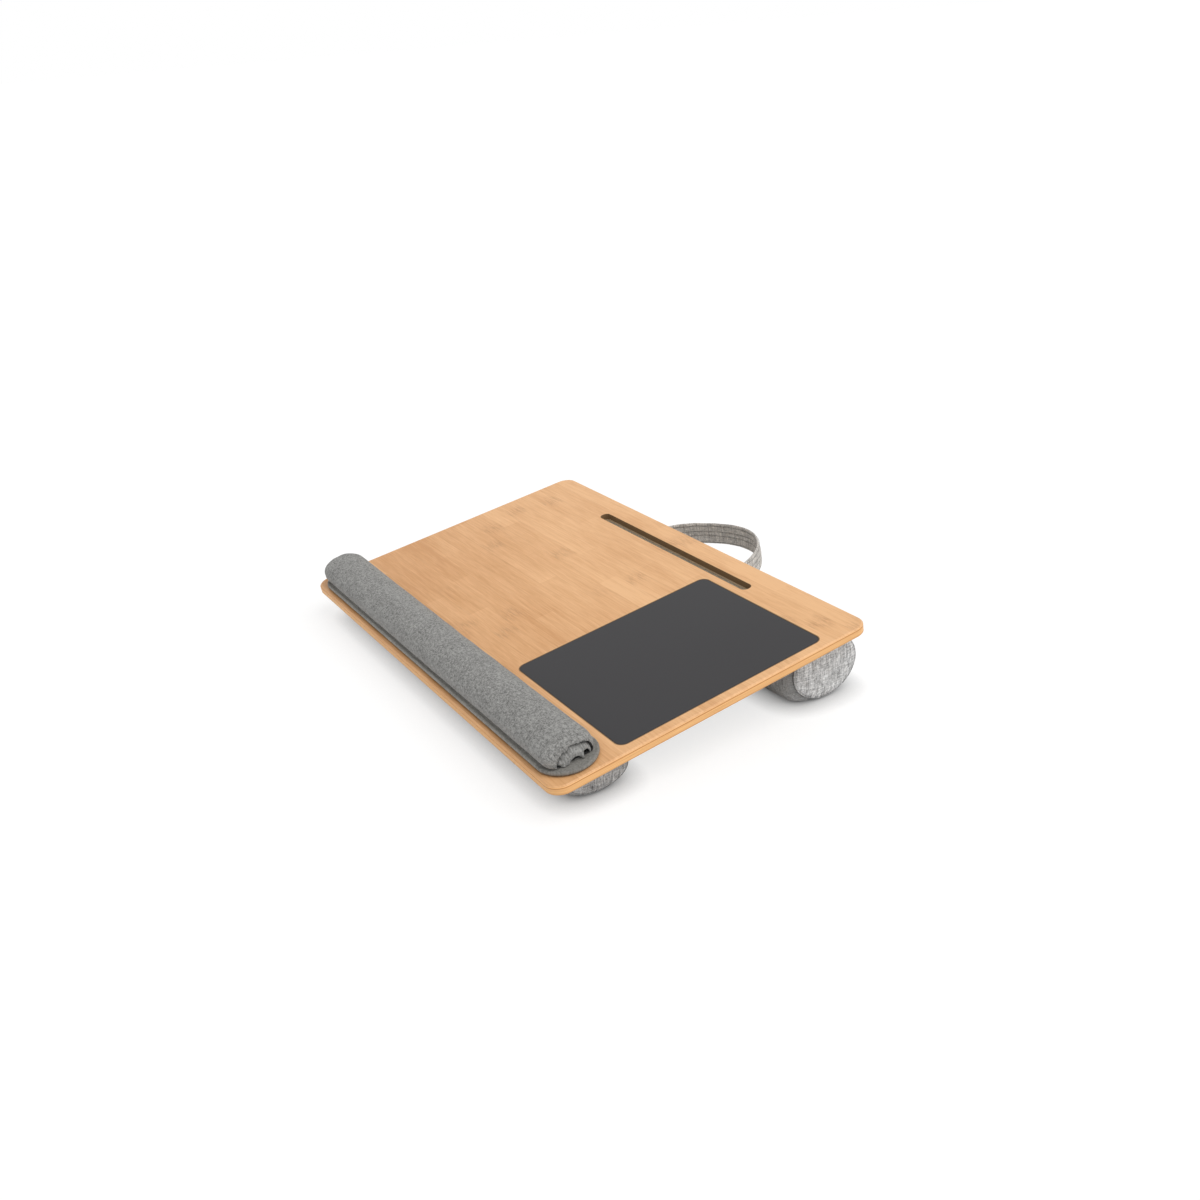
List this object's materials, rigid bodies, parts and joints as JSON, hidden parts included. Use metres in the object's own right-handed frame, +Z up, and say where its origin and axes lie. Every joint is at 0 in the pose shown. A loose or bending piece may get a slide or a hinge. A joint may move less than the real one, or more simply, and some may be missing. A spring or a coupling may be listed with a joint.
{
  "type": "lap tray with cushion",
  "caption": "Tilted bamboo lap tray on stuffed bolsters, with a phone slot, let-in mouse pad, padded wrist rest and fabric carry handle.",
  "frame": {"origin": "under the middle of the whole tray, handle included, at table level", "axes": "+X to the right along the long side, +Y from the user towards the handle, +Z up from the table"},
  "size_m": [0.55, 0.4284, 0.081],
  "materials": {
    "bamboo_face": "pale caramel bamboo strips, satin lacquer, bevelled rim",
    "bamboo_core": "cross-laid bamboo core seen at the edge, satin lacquer",
    "bamboo_back": "bamboo back ply, satin lacquer",
    "glue_film": "thin film of contact glue",
    "mouse_pad_sheet": "charcoal coated sheet with a fine matt grain",
    "backing_cloth": "plain grey woven cloth",
    "staple_wire": "galvanised wire",
    "mounting_tape": "black double-sided foam tape",
    "base_cloth": "grey knitted cloth pulled over a board",
    "base_stiffener": "pressed board",
    "roll_cloth": "heather grey knit",
    "roll_foam": "soft white foam",
    "strap_cloth": "heather grey cloth folded and stitched in rows",
    "strap_webbing": "flat woven webbing",
    "bolster_cloth": "heather grey slub weave",
    "end_panel_cloth": "light heather grey slub weave",
    "welt_cloth": "bias cloth over a cord",
    "bolster_filling": "loose fibre filling"
  },
  "bodies": {
    "tray": {"board_face_ply": "bamboo_face", "board_core": "bamboo_core", "board_back_ply": "bamboo_back", "mouse_pad_glue": "glue_film", "mouse_pad": "mouse_pad_sheet", "cushion_backing_panel": "backing_cloth", "panel_staples": "staple_wire", "wrist_rest_tapes": "mounting_tape", "wrist_rest_base_cover": "base_cloth", "wrist_rest_base_board": "base_stiffener", "wrist_roll_cover": "roll_cloth", "wrist_roll_core": "roll_foam", "wrist_roll_pleated_end": "roll_cloth", "handle_end_left": "strap_cloth", "handle_end_right": "strap_cloth", "front_bolster_cover": "bolster_cloth", "front_bolster_filling": "bolster_filling", "front_bolster_end_panel_left": "end_panel_cloth", "front_bolster_welt_left": "welt_cloth", "front_bolster_end_panel_right": "end_panel_cloth", "front_bolster_welt_right": "welt_cloth", "rear_bolster_cover": "bolster_cloth", "rear_bolster_filling": "bolster_filling", "rear_bolster_end_panel_left": "end_panel_cloth", "rear_bolster_welt_left": "welt_cloth", "rear_bolster_end_panel_right": "end_panel_cloth", "rear_bolster_welt_right": "welt_cloth"},
    "handle": {"handle_strap": "strap_cloth", "handle_webbing": "strap_webbing"}
  },
  "joints": [
    {"name": "handle_swing", "type": "hinge", "parent": "tray", "child": "handle", "pos_m": [-0.011, 0.14444, 0.0511], "axis": [1, 0, 0], "range_deg": [-40, 45]}
  ]
}
